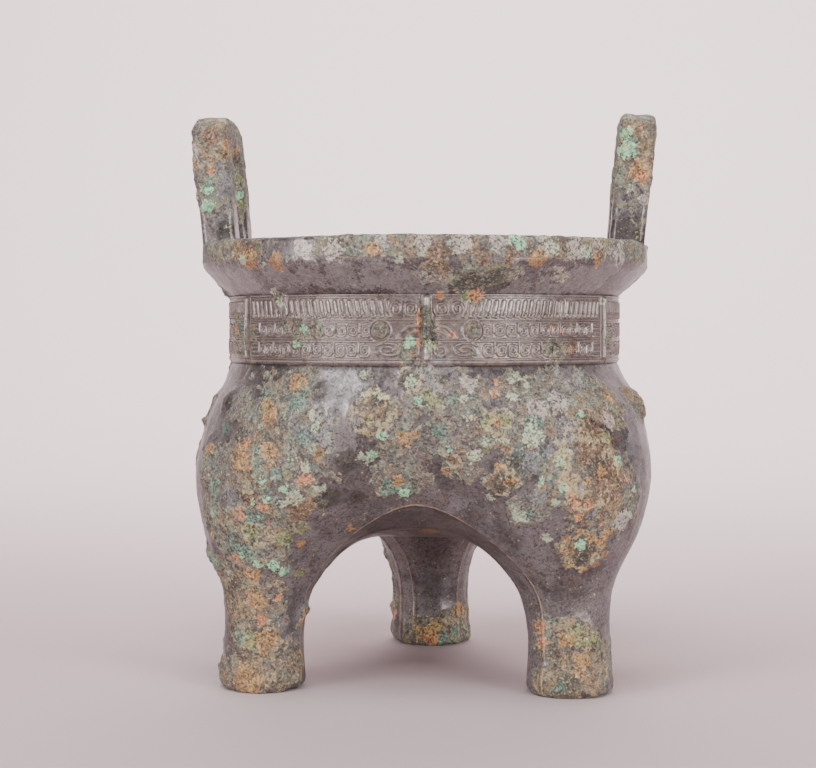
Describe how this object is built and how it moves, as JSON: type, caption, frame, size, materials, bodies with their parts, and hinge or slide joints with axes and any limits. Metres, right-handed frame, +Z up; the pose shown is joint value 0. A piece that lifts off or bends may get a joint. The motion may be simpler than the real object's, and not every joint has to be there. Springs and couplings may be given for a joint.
{
  "type": "bronze ding vessel",
  "caption": "Lobed tripod bronze vessel with a wide rim, two upright loop handles and a relief band round the neck, for cooking and offerings.",
  "frame": {"origin": "on the floor under the middle of the vessel's box", "axes": "+Z up, -Y the front with two legs, handles on -X and +X, one leg at the back on +Y"},
  "size_m": [0.165, 0.1652, 0.2014],
  "materials": {
    "bronze": "old grey-brown bronze with green, ochre and red-brown corrosion crust"
  },
  "bodies": {
    "root": {"ding_vessel": "bronze"}
  },
  "joints": []
}
